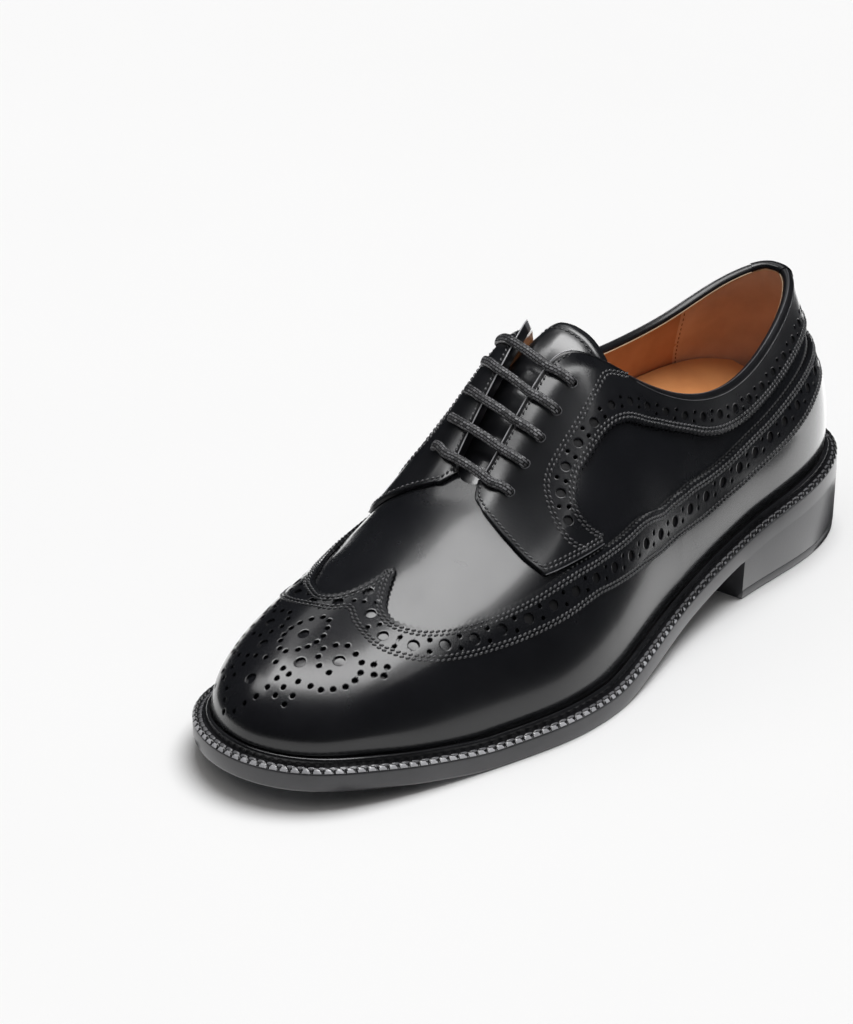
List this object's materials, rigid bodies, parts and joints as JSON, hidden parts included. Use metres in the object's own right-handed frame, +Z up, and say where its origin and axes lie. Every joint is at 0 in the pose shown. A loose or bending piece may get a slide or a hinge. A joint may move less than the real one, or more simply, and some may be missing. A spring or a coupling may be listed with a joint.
{
  "type": "brogue derby shoe",
  "caption": "Left leather longwing brogue derby: hollow upper with wing cap, open-laced facings and collar, on a welted sole with a stacked heel.",
  "frame": {"origin": "bottom centre of the shoe's bounding box, on the floor", "axes": "+Y from toe to heel, +X to the outer side of the left foot, +Z up"},
  "size_m": [0.112, 0.2998, 0.1098],
  "materials": {
    "black_calf": "polished",
    "welt_leather": "satin",
    "tan_leather": "satin",
    "sole_rubber": "satin",
    "top_piece_rubber": "matte",
    "waxed_cotton": "waxed"
  },
  "bodies": {
    "root": {"outsole": "sole_rubber", "heel_block": "sole_rubber", "heel_top_piece": "top_piece_rubber", "welt": "welt_leather", "insole": "tan_leather", "upper": "black_calf", "wing_cap": "black_calf", "facing_outer": "black_calf", "facing_inner": "black_calf", "backstay": "black_calf", "tongue": "black_calf", "lace": "waxed_cotton"}
  },
  "joints": []
}
